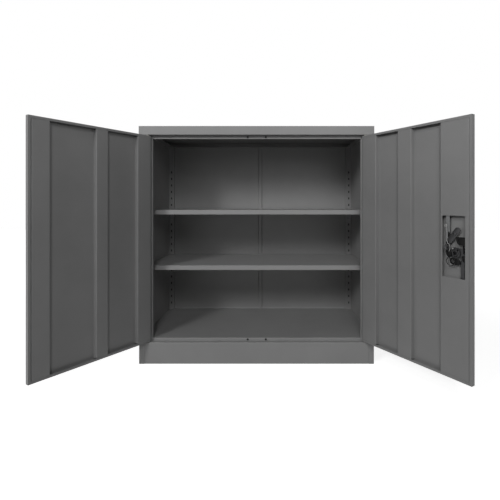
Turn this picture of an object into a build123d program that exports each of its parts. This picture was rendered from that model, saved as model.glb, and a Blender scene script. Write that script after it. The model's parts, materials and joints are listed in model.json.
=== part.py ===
from build123d import *
import os
from math import cos, radians, sin

# A steel cupboard for tools: a folded case on a plinth, two shelves on clips, two inset doors on pins,
# and a turning handle that drives two bolts inside the right door.
# Sizes are in millimetres. X runs to the right, Y to the back and Z up. The pieces are drawn with the
# case's front at Y = 0, and main() then sets the origin on the plinth's foot, midway between the sides.
# The doors stand open.

# ---- sheet steel
SHEET = 1.0                     # every folded panel
BEND_RADIUS = 1.5               # to the middle of the sheet
SHARP = 0.0                     # bend radius of folds that nobody sees or touches
SEAM_GAP = 0.3                  # between panels that lie side by side

# ---- case
WIDTH = 900.0                   # over the lid
DEPTH = 430.0                   # over the lid, doors shut
HEIGHT = 909.0
ORIGIN_SETBACK = 10.0           # origin on the plinth's foot flange, behind the front
HEADER_HEIGHT = 34.0            # front face and skirts of the lid
LID_STOP_DROP = 12.0            # door stop that hangs below the header
PLINTH_HEIGHT = 81.5
FLOOR_RISE = 11.0               # floor above the plinth's ledge
POST_FACE = 20.0                # front face of a side panel
JAMB_DEPTH = 20.0               # from the front plane to the door stops
STOP_WIDTH = 26.0               # door stop of a side panel
STOP_RETURN = 12.0              # lip behind a door stop
REAR_FLANGE = 19.0              # side panel's fold behind the back
FOOT_FLANGE = 19.0              # folds that stand on the floor
LID_FLANGE_DROP = 19.0          # flanges that tie the walls, below the top
LID_FLANGE = 25.0
BACK_FOLD = 5.0                 # back panel's folds towards the rear flange
FLOOR_UPSTAND = 7.0             # floor's fold against the back
COVER_STRIP_WIDTH = 25.0        # strip over the seam of the back
COVER_STRIP_DEPTH = 4.0

# ---- slotted uprights, shelves and their clips
UPRIGHT_WIDTH = 24.0
UPRIGHT_DEPTH = 15.0
FRONT_UPRIGHT_SETBACK = 53.0    # from the door stops to the front uprights' slotted face
SLOT_PITCH = 32.0
SLOT_MARGIN = 110.0             # least length of upright above its highest slot
SLOT_WIDTH = 6.0
SLOT_HEIGHT = 10.0
FIRST_SLOT = 32.5               # centre of the lowest slot above the floor
SHELF_THICKNESS = 18.0
SHELF_RETURN = 14.0
SHELF_SIDE_GAP = 1.5            # to each side panel
SHELF_END_GAP = 7.0             # to the front and rear uprights
UPPER_SHELF_SLOT_INDEX = 13     # slot in which a shelf's clips hang, counted from 0 at the bottom
LOWER_SHELF_SLOT_INDEX = 6
CLIP_LEDGE_ABOVE_SLOT = 27.2    # top of a clip's ledge above its lower slot
CLIP_THICKNESS = 1.0
CLIP_WIDTH = 14.0
CLIP_REACH = 16.0
CLIP_TAIL = 5.0                 # plate of a clip beyond its two slots
HOOK_WIDTH = 5.0
HOOK_REACH = 3.0                # past the back of the slot
HOOK_DROP = 6.0
SHELF_SEAT = 0.3                # a shelf's running gap above its clips

# ---- doors
DOOR_THICKNESS = 16.0
DOOR_SIDE_GAP = 3.0
DOOR_CENTRE_GAP = 4.0
DOOR_END_GAP = 3.2              # above and below a door
END_LIP = 8.0                   # door's folds at top and bottom
FREE_LIP = 7.5                  # door's fold at its free edge
PIVOT_INSET = 8.0               # hinge axis from the door's edge
PIVOT_DEPTH = 5.5               # hinge axis from the door's outer face
LEFT_OPEN = 125.0               # degrees from shut at which each door stands
RIGHT_OPEN = 123.0

# ---- stiffening channels inside the doors
CHANNEL_END_GAP = 0.6
CHANNEL_FLANK_RUN = 3.0         # slope of a channel's flank
CHANNEL_FOOT = 5.0
LEFT_HINGE_CHANNEL_REACH = 57.0     # face of the channel, from the hinge edge
RIGHT_HINGE_CHANNEL_REACH = 67.0
LEFT_MID_CHANNEL_START = 176.0      # from the hinge edge
LEFT_MID_CHANNEL_WIDTH = 40.0
RIGHT_MID_CHANNEL_START = 165.0
RIGHT_MID_CHANNEL_WIDTH = 54.0
EDGE_CHANNEL_INSET = 10.0           # of the last channel from the free edge
LEFT_EDGE_CHANNEL_WIDTH = 50.0
LOCK_CHANNEL_WIDTH = 88.0

# ---- access window in the lock channel
WINDOW_INSET = 20.0             # from the free edge
WINDOW_WIDTH = 72.0
WINDOW_HEIGHT = 187.5
WINDOW_RISE = 18.75             # of the window's middle above the handle
WINDOW_RADIUS = 3.0

# ---- hinge pins, welded to brackets in the doors' corners and turning in nylon washers
PIN_RADIUS = 3.0
PIN_RUN = 0.05                  # radial running gap in a washer
PIN_HOLE_GAP = 0.3              # radial gap in the sheets
PIN_BELOW_SHEET = 6.0           # pin's end beyond the case's sheet
WASHER_WIDTH = 10.6             # across the flats of an eight-sided washer
WASHER_RUN = 0.2                # end play between door and washer
BRACKET_THICKNESS = 3.0
BRACKET_LENGTH = 30.0
BRACKET_GAP = 0.1               # under the door's lip

# ---- rubber buffers on the door stops
BUFFER_WIDTH = 8.0              # across the sides
BUFFER_SIDES = 12
BUFFER_OFFSET = 35.0            # from the middle of the case
BUFFER_GAP = 0.3                # to a shut door

# ---- handle, crank and bolts in the right door
LOCK_INSET = 54.0               # handle and cylinder from the free edge
HUB_LEVEL = 464.0
FIT = 0.02                      # radial gap between pieces that don't move
SPINDLE_RADIUS = 4.0
SPINDLE_RUN = 0.05
CRANK_RADIUS = 17.0
CRANK_THICKNESS = 2.5
CRANK_FACE = 10.1               # crank disc from the door's outer face
CRANK_THROW = 13.0              # radius of the crank's two pins
CRANK_PIN_RADIUS = 2.5
CRANK_SCREW_WIDTH = 10.0        # across the flats
CRANK_SCREW_HEAD = 2.2
HANDLE_TURN = 90.0              # degrees from bolts drawn in to bolts out
ROD_WIDTH = 11.5
ROD_THICKNESS = 2.5
ROD_OFFSET = 23.0               # centre line of each bolt from the hub
ROD_FACE = 7.3                  # bolts from the door's outer face
ROD_ARM_HEIGHT = 12.0
ROD_ARM_START = 4.6             # inner end of a bolt's arm from the hub
SLOT_LIFT = 0.6                 # free play of a crank pin in its arm
SLOT_SIDE = 0.4
ROD_END_INSET = 0.3             # bolt's end inside the door when drawn in
ROD_TIP_CHAMFER = 2.5
ROD_HOLE_GAP = 1.2              # round a bolt, in the door's flanges
STRIKE_GAP = 1.8                # round a bolt, in the case
GUIDE_LENGTH = 10.0
GUIDE_WALL = 5.0
GUIDE_BRIDGE = 1.8
GUIDE_GAP = 0.3
GUIDE_SETBACK = 50.0            # of each bolt's last guide from the door's end
GUIDE_SPACING = 200.0

# ---- handle plate outside
PLATE_WIDTH = 40.0
PLATE_MARGIN = 26.0             # beyond the handle's and the cylinder's axes
PLATE_THICKNESS = 5.0
PLATE_CORNER = 10.0
PLATE_EDGE = 2.0
TUBE_RADIUS = 7.0               # plate's tube through the door
TUBE_END = 6.0
HOLE_GAP = 0.2                  # round the tube and the barrel in the door's skin
GRIP_LENGTH = 84.0
GRIP_WIDTH = 18.0
GRIP_THICKNESS = 13.0
GRIP_CORNER = 4.5
GRIP_EDGE = 4.0
GRIP_STANDOFF = 14.0            # from the plate
HANDLE_BOSS_RADIUS = 12.0
HANDLE_NECK_RADIUS = 9.0
HANDLE_PLATE_RUN = 0.3

# ---- key cylinder
CYLINDER_RISE = 58.0            # above the handle
BARREL_RADIUS = 9.0
BARREL_NOSE = 4.0               # in front of the plate
BARREL_END = 10.0
PLUG_RADIUS = 6.45
PLUG_RUN = 0.05
PLUG_TAIL = 0.3                 # past the barrel's inner end
KEYWAY_WIDTH = 1.4
KEYWAY_HEIGHT = 8.5
KEYWAY_DEPTH = 10.0
CAM_WIDTH = 18.0
CAM_LONG_REACH = 35.5           # from the cylinder's axis to the cam's far end
CAM_SHORT_REACH = 22.5
CAM_THICKNESS = 2.0
CAM_ANGLE = 232.0               # direction of the long end, seen from inside the door
CAM_NUT_WIDTH = 11.0            # across the flats
CAM_NUT_THICKNESS = 2.4

# ---- spare keys in the window
KEY_HEAD_WIDTH = 23.0           # across the flats of an eight-sided head
KEY_HEAD_THICKNESS = 2.4
KEY_BLADE_LENGTH = 36.0         # from the head's middle
KEY_BLADE_WIDTH = 7.0
KEY_BLADE_THICKNESS = 2.0
KEY_GAP = 0.2                   # to the crank
UPPER_KEY_OFFSET = 20.0         # head's middle from the handle's axis
UPPER_KEY_RISE = 38.0
UPPER_KEY_ANGLE = -95.0         # direction of the blade, seen from inside the door
LOWER_KEY_OFFSET = -21.5
LOWER_KEY_RISE = -5.0
LOWER_KEY_ANGLE = 100.0

# ---- worked out from the sizes above
HALF_SHEET = SHEET / 2
INNER_BEND = BEND_RADIUS - HALF_SHEET
LID_FLANGE_LEVEL = HEIGHT - LID_FLANGE_DROP
BODY_HALF = WIDTH / 2 - SHEET                   # outer face of a side panel, inside the lid's skirt
BODY_BACK = DEPTH - SHEET                       # rear face of the side panels' flanges
WALL_X = BODY_HALF - SHEET                      # inner face of a side panel
JAMB_X = BODY_HALF - POST_FACE
STOP_X = JAMB_X - STOP_WIDTH
HEADER_BOTTOM = HEIGHT - HEADER_HEIGHT
FLOOR_TOP = PLINTH_HEIGHT + FLOOR_RISE
POST_BACK = JAMB_DEPTH + STOP_RETURN            # rear end of the door stops' lips
FRONT_BAY = POST_BACK + 2 * SHEET               # where the full width of the case begins
BACK_FACE = BODY_BACK - SHEET - BACK_FOLD       # inner face of the back
REAR_SLOT_FACE = BACK_FACE - UPRIGHT_DEPTH
FRONT_SLOT_FACE = JAMB_DEPTH + FRONT_UPRIGHT_SETBACK
UPRIGHT_X = WALL_X - SEAM_GAP - UPRIGHT_WIDTH / 2
SLOT_COUNT = int((LID_FLANGE_LEVEL - SHEET - SLOT_MARGIN - FLOOR_TOP - FIRST_SLOT) / SLOT_PITCH) + 1
SHELF_FRONT = FRONT_SLOT_FACE + SHELF_END_GAP
SHELF_BACK = REAR_SLOT_FACE - SHELF_END_GAP
SHELF_HALF = WALL_X - SHELF_SIDE_GAP
DOOR_WIDTH = JAMB_X - DOOR_SIDE_GAP - DOOR_CENTRE_GAP / 2
DOOR_BOTTOM = PLINTH_HEIGHT + DOOR_END_GAP
DOOR_TOP = HEADER_BOTTOM - DOOR_END_GAP
PIVOT_X = JAMB_X - DOOR_SIDE_GAP - PIVOT_INSET
CHANNEL_BOTTOM = DOOR_BOTTOM + END_LIP + CHANNEL_END_GAP
CHANNEL_TOP = DOOR_TOP - END_LIP - CHANNEL_END_GAP
EDGE_CHANNEL_END = DOOR_WIDTH - EDGE_CHANNEL_INSET
LOCK_LINE = DOOR_WIDTH - LOCK_INSET             # handle and cylinder from the hinge edge
CYLINDER_LEVEL = HUB_LEVEL + CYLINDER_RISE
WASHER_THICKNESS = DOOR_END_GAP - WASHER_RUN
ROD_BACK = ROD_FACE + ROD_THICKNESS
CRANK_BACK = CRANK_FACE + CRANK_THICKNESS
CRANK_PIN_RISE = CRANK_THROW * sin(radians(HANDLE_TURN / 2))
CRANK_PIN_OFFSET = CRANK_THROW * cos(radians(HANDLE_TURN / 2))
LEFT = "left"
RIGHT = "right"


# ---- helpers

def block(x, y, z):
    """Box between the limits given as pairs along X, Y and Z."""
    corner = Pos(min(x), min(y), min(z))
    size = [abs(limits[1] - limits[0]) for limits in (x, y, z)]
    return corner * Box(*size, align=(Align.MIN, Align.MIN, Align.MIN))


def folded(path, span, plane=Plane.XY, radii=BEND_RADIUS):
    """Sheet folded along the centre line path, drawn on plane, and drawn out over span along its normal.

    radii is the bend radius of all the folds, or a tuple with one for each fold.
    """
    start, stop = min(span), max(span)
    section = trace(FilletPolyline(*path, radius=radii), SHEET)
    return extrude(plane.offset(start) * section, stop - start)


def pressed_channel(x, y, z, open_side):
    """Channel with square corners in the box x, y, z, open towards the Y limit open_side."""
    closed_side = min(y) if open_side == max(y) else max(y)
    inward = SHEET if open_side > closed_side else -SHEET
    inside_x = (min(x) + SHEET, max(x) - SHEET)
    return block(x, y, z) - block(inside_x, (closed_side + inward, open_side), z)


def across(outline, u, level, v):
    """Flat outline drawn out across a door between two depths v, its middle at u and level."""
    return Pos(u, max(v), level) * Rot(90, 0, 0) * extrude(outline, abs(v[1] - v[0]))


def round_bar(u, level, radius, v):
    """Cylinder across a door between two depths v."""
    return across(Circle(radius), u, level, v)


def flat_sided(width, sides):
    """Regular outline with a number of sides, width over its flats."""
    return RegularPolygon(width / 2, sides, major_radius=False)


def hexagon(width):
    return flat_sided(width, 6)


def octagon(width):
    return flat_sided(width, 8)


def cut_corner_plate(width, height, corner):
    """Rectangle with its corners cut off."""
    outline = Rectangle(width, height)
    return chamfer(outline.vertices(), corner)


def upright_bar(radius, low, high):
    """Cylinder along Z between two levels."""
    return Pos(0, 0, (low + high) / 2) * Cylinder(radius, abs(high - low))


def mirrored(piece):
    """The same piece for the other side of the case."""
    return mirror(piece, about=Plane.YZ)


def hung(piece, hand):
    """Carry a piece from door coordinates to its hinge, with the door standing open.

    In door coordinates u along X is measured from the hinge edge, depth v along Y from the outer face
    inward, and Z from the floor.
    """
    angle = LEFT_OPEN if hand == LEFT else RIGHT_OPEN
    turned = Rot(0, 0, -angle) * Pos(-PIVOT_INSET, -PIVOT_DEPTH, 0) * piece
    placed = Pos(-PIVOT_X, PIVOT_DEPTH, 0) * turned
    return placed if hand == LEFT else mirrored(placed)


def grouped(pieces):
    """Several separate solids that share one node."""
    return Compound([solid for piece in pieces for solid in piece.solids()])


# ---- case

def side_panel():
    """Left side: wall, front post with its door stop, rear flange, and flanges at top and bottom."""
    wall = -BODY_HALF + HALF_SHEET
    jamb = -JAMB_X - HALF_SHEET
    lip = -STOP_X - HALF_SHEET
    path = [
        (-BODY_HALF + REAR_FLANGE, BODY_BACK - HALF_SHEET),
        (wall, BODY_BACK - HALF_SHEET),
        (wall, HALF_SHEET),
        (jamb, HALF_SHEET),
        (jamb, JAMB_DEPTH + HALF_SHEET),
        (lip, JAMB_DEPTH + HALF_SHEET),
        (lip, POST_BACK),
    ]
    radii = (SHARP, BEND_RADIUS, BEND_RADIUS, BEND_RADIUS, BEND_RADIUS)
    panel = folded(path, (0, LID_FLANGE_LEVEL), radii=radii)
    panel -= block((-WIDTH, 0), (-SHEET, FRONT_BAY), (HEADER_BOTTOM, HEIGHT))
    top_level = (LID_FLANGE_LEVEL - SHEET, LID_FLANGE_LEVEL)
    panel += block((-WALL_X, -BODY_HALF + LID_FLANGE), (FRONT_BAY, BACK_FACE), top_level)
    panel += block((-WALL_X, -BODY_HALF + FOOT_FLANGE), (FRONT_BAY, BACK_FACE), (0, SHEET))
    return panel


def strike_hole(offset, level):
    """Hole in the case for a bolt, at its place with the right door shut."""
    x = PIVOT_X + PIVOT_INSET - LOCK_LINE - offset
    half_width = ROD_WIDTH / 2 + STRIKE_GAP
    y = (ROD_FACE - STRIKE_GAP, ROD_BACK + STRIKE_GAP)
    return block((x - half_width, x + half_width), y, (level - SHEET, level + SHEET))


def hinge_holes(level):
    """Holes for the two hinge pins in a sheet at the given level."""
    hole = Pos(-PIVOT_X, PIVOT_DEPTH, level) * Cylinder(PIN_RADIUS + PIN_HOLE_GAP, 2 * SHEET)
    return hole + mirrored(hole)


def lid():
    """Top with its header, skirts and the upper door stop."""
    top = HEIGHT - HALF_SHEET
    under = HEADER_BOTTOM + HALF_SHEET
    rear = DEPTH - HALF_SHEET
    stop = JAMB_DEPTH + HALF_SHEET
    shell = folded(
        [(rear, HEADER_BOTTOM), (rear, top), (HALF_SHEET, top), (HALF_SHEET, under), (stop - SHEET, under)],
        (-BODY_HALF, BODY_HALF),
        Plane.YZ,
    )
    lip = under - LID_STOP_DROP
    stop_strip = folded(
        [(PIVOT_DEPTH, under), (stop, under), (stop, lip), (POST_BACK, lip)],
        (-STOP_X + SEAM_GAP, STOP_X - SEAM_GAP),
        Plane.YZ,
        (BEND_RADIUS, SHARP),
    )
    shell += stop_strip
    skirt = block((BODY_HALF, WIDTH / 2), (0, DEPTH), (HEADER_BOTTOM, HEIGHT))
    shell += skirt + mirrored(skirt)
    shell -= strike_hole(-ROD_OFFSET, under)
    return shell - hinge_holes(under)


def plinth():
    """Front of the base with its foot flange and the ledge under the doors."""
    ledge = PLINTH_HEIGHT - HALF_SHEET
    path = [
        (FOOT_FLANGE, HALF_SHEET),
        (HALF_SHEET, HALF_SHEET),
        (HALF_SHEET, ledge),
        (JAMB_DEPTH - SEAM_GAP, ledge),
    ]
    front = folded(path, (-JAMB_X + SEAM_GAP, JAMB_X - SEAM_GAP), Plane.YZ)
    levels = (PLINTH_HEIGHT - SHEET, PLINTH_HEIGHT)
    front += block((-STOP_X + SEAM_GAP, STOP_X - SEAM_GAP), (PIVOT_DEPTH, FRONT_BAY), levels)
    front -= strike_hole(ROD_OFFSET, ledge)
    return front - hinge_holes(ledge)


def floor_panel():
    """Floor with the lower door stop in front and a low upstand against the back."""
    level = FLOOR_TOP - HALF_SHEET
    stop = JAMB_DEPTH + HALF_SHEET
    floor = folded(
        [(stop, PLINTH_HEIGHT), (stop, level), (FRONT_BAY + SHEET, level)],
        (-STOP_X + SEAM_GAP, STOP_X - SEAM_GAP),
        Plane.YZ,
    )
    half_width = WALL_X - SEAM_GAP
    floor += block((-half_width, half_width), (FRONT_BAY, BACK_FACE), (FLOOR_TOP - SHEET, FLOOR_TOP))
    upstand_x = (-UPRIGHT_X + UPRIGHT_WIDTH / 2 + SEAM_GAP, -COVER_STRIP_WIDTH / 2 - SEAM_GAP)
    upstand_levels = (FLOOR_TOP - SHEET, FLOOR_TOP + FLOOR_UPSTAND)
    upstand = block(upstand_x, (BACK_FACE - SHEET, BACK_FACE), upstand_levels)
    return floor + upstand + mirrored(upstand)


def back_panel():
    """Left half of the back, with folded edges and a flange forward below the lid."""
    fold = BODY_BACK - SHEET
    seam = -SEAM_GAP / 2
    panel = pressed_channel((-WALL_X + INNER_BEND, seam), (BACK_FACE, fold), (0, LID_FLANGE_LEVEL), fold)
    flange_x = (-BODY_HALF + LID_FLANGE + SEAM_GAP, seam)
    flange_levels = (LID_FLANGE_LEVEL - SHEET, LID_FLANGE_LEVEL)
    return panel + block(flange_x, (BACK_FACE - LID_FLANGE, BACK_FACE + SHEET), flange_levels)


def cover_strip():
    """Hat strip over the seam between the halves of the back."""
    x = (-COVER_STRIP_WIDTH / 2, COVER_STRIP_WIDTH / 2)
    y = (BACK_FACE - COVER_STRIP_DEPTH, BACK_FACE)
    return pressed_channel(x, y, (FLOOR_TOP, LID_FLANGE_LEVEL - SHEET), BACK_FACE)


def slot_level(index):
    """Height of a slot's centre, counted from 0 at the bottom."""
    return FLOOR_TOP + FIRST_SLOT + index * SLOT_PITCH


def slotted_upright(slot_face, leg_end):
    """Left upright: a channel whose slotted web is at slot_face and whose legs run to leg_end."""
    x = (-UPRIGHT_X - UPRIGHT_WIDTH / 2, -UPRIGHT_X + UPRIGHT_WIDTH / 2)
    levels = (FLOOR_TOP, LID_FLANGE_LEVEL - SHEET)
    channel = pressed_channel(x, (slot_face, leg_end), levels, leg_end)
    slot_x = (-UPRIGHT_X - SLOT_WIDTH / 2, -UPRIGHT_X + SLOT_WIDTH / 2)
    slot_y = (slot_face - SHEET, slot_face + SHEET)
    slots = [
        block(slot_x, slot_y, (slot_level(i) - SLOT_HEIGHT / 2, slot_level(i) + SLOT_HEIGHT / 2))
        for i in range(SLOT_COUNT)
    ]
    return channel - slots


def rear_upright():
    return slotted_upright(REAR_SLOT_FACE, BACK_FACE)


def front_upright():
    return slotted_upright(FRONT_SLOT_FACE, FRONT_SLOT_FACE - UPRIGHT_DEPTH)


# ---- shelves

def shelf_bottom(index):
    """Underside of the shelf whose clips hang in the given slot."""
    return slot_level(index) + CLIP_LEDGE_ABOVE_SLOT + SHELF_SEAT


def shelf(index):
    """Tray shelf with folded front, rear and sides."""
    low = shelf_bottom(index)
    top = low + SHELF_THICKNESS - HALF_SHEET
    front, back = SHELF_FRONT + HALF_SHEET, SHELF_BACK - HALF_SHEET
    under = low + HALF_SHEET
    path = [
        (front + SHELF_RETURN, under),
        (front, under),
        (front, top),
        (back, top),
        (back, under),
        (back - SHELF_RETURN, under),
    ]
    radii = (SHARP, BEND_RADIUS, BEND_RADIUS, SHARP)
    tray = folded(path, (-SHELF_HALF, SHELF_HALF), Plane.YZ, radii)
    side = block((SHELF_HALF - SHEET, SHELF_HALF), (front, back), (under, top))
    return tray + side + mirrored(side)


def shelf_clip(index, slot_face, outward):
    """Clip on the left upright: plate, two hooks through the slots and a ledge under the shelf."""
    ledge = slot_level(index) + CLIP_LEDGE_ABOVE_SLOT
    near, far = slot_face, slot_face + outward * CLIP_THICKNESS
    plate_levels = (slot_level(index) - CLIP_TAIL, slot_level(index + 1) + CLIP_TAIL)
    x = (-UPRIGHT_X - CLIP_WIDTH / 2, -UPRIGHT_X + CLIP_WIDTH / 2)
    clip = block(x, (near, far), plate_levels)
    clip += block(x, (near, near + outward * CLIP_REACH), (ledge - CLIP_THICKNESS, ledge))
    hook_x = (-UPRIGHT_X - HOOK_WIDTH / 2, -UPRIGHT_X + HOOK_WIDTH / 2)
    inner = slot_face - outward * (SHEET + SEAM_GAP)
    tip = inner - outward * HOOK_REACH
    for level in (slot_level(index), slot_level(index + 1)):
        top = level + CLIP_THICKNESS
        clip += block(hook_x, (far, tip), (level, top))
        clip += block(hook_x, (tip - outward * CLIP_THICKNESS, tip), (level - HOOK_DROP, top))
    return clip


def shelf_clips(index):
    """The four clips of one shelf."""
    left = [shelf_clip(index, REAR_SLOT_FACE, -1), shelf_clip(index, FRONT_SLOT_FACE, 1)]
    return grouped(left + [mirrored(clip) for clip in left])


# ---- hinges and buffers

def case_face(top):
    """Level of the case's sheet that a hinge pin passes, on the door's side."""
    return HEADER_BOTTOM if top else PLINTH_HEIGHT


def door_end(top):
    return DOOR_TOP if top else DOOR_BOTTOM


def toward_door(top):
    """Direction along Z from the case's sheet into the door."""
    return -1 if top else 1


def hinge_washer(top):
    """Left nylon washer between the case and the door, in which a pin turns."""
    levels = (case_face(top), case_face(top) + toward_door(top) * WASHER_THICKNESS)
    washer = Pos(0, 0, min(levels)) * extrude(octagon(WASHER_WIDTH), WASHER_THICKNESS)
    washer -= upright_bar(PIN_RADIUS + PIN_RUN, *levels)
    return Pos(-PIVOT_X, PIVOT_DEPTH, 0) * washer


def hinge_washers():
    left = [hinge_washer(top) for top in (False, True)]
    return grouped(left + [mirrored(washer) for washer in left])


def hinge_pin(top):
    """Pin from the face of its bracket through the door's lip, the washer and the case's sheet."""
    levels = (
        case_face(top) - toward_door(top) * PIN_BELOW_SHEET,
        door_end(top) + toward_door(top) * SHEET,
    )
    return Pos(PIVOT_INSET, PIVOT_DEPTH, 0) * upright_bar(PIN_RADIUS, *levels)


def pin_bracket(top):
    """Thick plate in the corner of a door, to which a hinge pin is welded."""
    face = door_end(top) + toward_door(top) * SHEET
    levels = (face, face + toward_door(top) * BRACKET_THICKNESS)
    return block((SHEET, BRACKET_LENGTH), (SHEET, DOOR_THICKNESS - SHEET - BRACKET_GAP), levels)


def door_buffers():
    """Rubber buffers on the upper and lower door stops, one for each door at each level."""
    levels = ((PLINTH_HEIGHT + FLOOR_TOP) / 2, HEADER_BOTTOM - LID_STOP_DROP / 2)
    depths = (DOOR_THICKNESS + BUFFER_GAP, JAMB_DEPTH)
    outline = flat_sided(BUFFER_WIDTH, BUFFER_SIDES)
    left = [across(outline, -BUFFER_OFFSET, level, depths) for level in levels]
    return grouped(left + [mirrored(buffer) for buffer in left])


# ---- doors

def door_pan():
    """Outer skin folded in at all four edges, with lips at the top, the bottom and the free edge."""
    levels = (DOOR_BOTTOM, DOOR_TOP)
    pan = block((0, DOOR_WIDTH), (0, DOOR_THICKNESS), levels)
    pan = fillet(pan.faces().sort_by(Axis.Y)[0].edges(), BEND_RADIUS)
    inner_levels = (DOOR_BOTTOM + SHEET, DOOR_TOP - SHEET)
    pan -= block((SHEET, DOOR_WIDTH - SHEET), (SHEET, DOOR_THICKNESS - SHEET), inner_levels)
    mouth_levels = (DOOR_BOTTOM + END_LIP, DOOR_TOP - END_LIP)
    pan -= block((SHEET, DOOR_WIDTH - FREE_LIP), (SHEET, DOOR_THICKNESS + SHEET), mouth_levels)
    pin_hole = Pos(PIVOT_INSET, PIVOT_DEPTH, 0) * upright_bar(PIN_RADIUS + PIN_HOLE_GAP, 0, HEIGHT)
    return pan - pin_hole


def stiffener(start, width, foot_bend=SHARP):
    """Hat channel on the inside of a door's skin, its face width wide from start."""
    stop = start + width
    foot, face = SHEET + HALF_SHEET, DOOR_THICKNESS - HALF_SHEET
    path = [
        (start - CHANNEL_FLANK_RUN - CHANNEL_FOOT, foot),
        (start - CHANNEL_FLANK_RUN, foot),
        (start, face),
        (stop, face),
        (stop + CHANNEL_FLANK_RUN, foot),
        (stop + CHANNEL_FLANK_RUN + CHANNEL_FOOT, foot),
    ]
    radii = (foot_bend, BEND_RADIUS, BEND_RADIUS, foot_bend)
    return folded(path, (CHANNEL_BOTTOM, CHANNEL_TOP), radii=radii)


def hinge_channel(reach):
    """Channel that closes the hinge side of a door, its face as wide as reach."""
    foot, face = SHEET + HALF_SHEET, DOOR_THICKNESS - HALF_SHEET
    path = [
        (foot, SHEET),
        (foot, face),
        (reach, face),
        (reach + CHANNEL_FLANK_RUN, foot),
        (reach + CHANNEL_FLANK_RUN + CHANNEL_FOOT, foot),
    ]
    radii = (BEND_RADIUS, BEND_RADIUS, SHARP)
    return folded(path, (CHANNEL_BOTTOM, CHANNEL_TOP), radii=radii)


def right_door_pan():
    """Door pan with holes for the handle, the cylinder and the two bolts."""
    pan = door_pan()
    skin = (-SHEET, 2 * SHEET)
    pan -= round_bar(LOCK_LINE, HUB_LEVEL, TUBE_RADIUS + HOLE_GAP, skin)
    pan -= round_bar(LOCK_LINE, CYLINDER_LEVEL, BARREL_RADIUS + HOLE_GAP, skin)
    y = (ROD_FACE - ROD_HOLE_GAP, ROD_BACK + ROD_HOLE_GAP)
    half_width = ROD_WIDTH / 2 + ROD_HOLE_GAP
    for offset, level in ((-ROD_OFFSET, DOOR_TOP), (ROD_OFFSET, DOOR_BOTTOM)):
        x = LOCK_LINE + offset
        pan -= block((x - half_width, x + half_width), y, (level - 2 * SHEET, level + 2 * SHEET))
    return pan


def left_edge_channel():
    return stiffener(EDGE_CHANNEL_END - LEFT_EDGE_CHANNEL_WIDTH, LEFT_EDGE_CHANNEL_WIDTH)


def lock_channel():
    """Wide channel over the bolts, with the access window to the lock."""
    channel = stiffener(EDGE_CHANNEL_END - LOCK_CHANNEL_WIDTH, LOCK_CHANNEL_WIDTH, BEND_RADIUS)
    outline = RectangleRounded(WINDOW_WIDTH, WINDOW_HEIGHT, WINDOW_RADIUS)
    depths = (DOOR_THICKNESS - 2 * SHEET, DOOR_THICKNESS + SHEET)
    u = DOOR_WIDTH - WINDOW_INSET - WINDOW_WIDTH / 2
    return channel - across(outline, u, HUB_LEVEL + WINDOW_RISE, depths)


# ---- handle, crank and bolts

def handle_plate():
    """Plate outside the right door with a tube for the spindle and a hole for the key cylinder."""
    outline = cut_corner_plate(PLATE_WIDTH, CYLINDER_RISE + 2 * PLATE_MARGIN, PLATE_CORNER)
    plate = across(outline, LOCK_LINE, HUB_LEVEL + CYLINDER_RISE / 2, (-PLATE_THICKNESS, 0))
    plate = chamfer(plate.faces().sort_by(Axis.Y)[0].edges(), PLATE_EDGE)
    plate += round_bar(LOCK_LINE, HUB_LEVEL, TUBE_RADIUS, (-PLATE_THICKNESS / 2, TUBE_END))
    through = (-2 * PLATE_THICKNESS, 2 * TUBE_END)
    plate -= round_bar(LOCK_LINE, HUB_LEVEL, SPINDLE_RADIUS + SPINDLE_RUN, through)
    return plate - round_bar(LOCK_LINE, CYLINDER_LEVEL, BARREL_RADIUS + FIT, through)


def handle_grip():
    """T-shaped handle, level when the bolts are drawn in."""
    neck_start = -PLATE_THICKNESS - HANDLE_PLATE_RUN
    grip_back = neck_start - GRIP_STANDOFF
    outline = cut_corner_plate(GRIP_LENGTH, GRIP_WIDTH, GRIP_CORNER)
    grip = across(outline, LOCK_LINE, HUB_LEVEL, (grip_back - GRIP_THICKNESS, grip_back))
    grip = chamfer(grip.faces().sort_by(Axis.Y)[0].edges(), GRIP_EDGE)
    neck = Cone(HANDLE_BOSS_RADIUS, HANDLE_NECK_RADIUS, GRIP_STANDOFF)
    grip += Pos(LOCK_LINE, (neck_start + grip_back) / 2, HUB_LEVEL) * Rot(90, 0, 0) * neck
    return grip - round_bar(LOCK_LINE, HUB_LEVEL, SPINDLE_RADIUS, (neck_start, grip_back))


def spindle():
    """Steel shaft from the handle to the crank."""
    grip_back = -PLATE_THICKNESS - HANDLE_PLATE_RUN - GRIP_STANDOFF
    return round_bar(LOCK_LINE, HUB_LEVEL, SPINDLE_RADIUS, (grip_back, CRANK_FACE))


def crank():
    """Disc on the spindle with two pins that stand in the arms of the bolts."""
    disc = round_bar(LOCK_LINE, HUB_LEVEL, CRANK_RADIUS, (CRANK_FACE, CRANK_BACK))
    for side in (-1, 1):
        u, level = LOCK_LINE + side * CRANK_PIN_OFFSET, HUB_LEVEL + side * CRANK_PIN_RISE
        disc += round_bar(u, level, CRANK_PIN_RADIUS, (ROD_FACE, CRANK_FACE))
    return disc


def crank_screw():
    head = hexagon(CRANK_SCREW_WIDTH)
    return across(head, LOCK_LINE, HUB_LEVEL, (CRANK_BACK, CRANK_BACK + CRANK_SCREW_HEAD))


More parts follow.
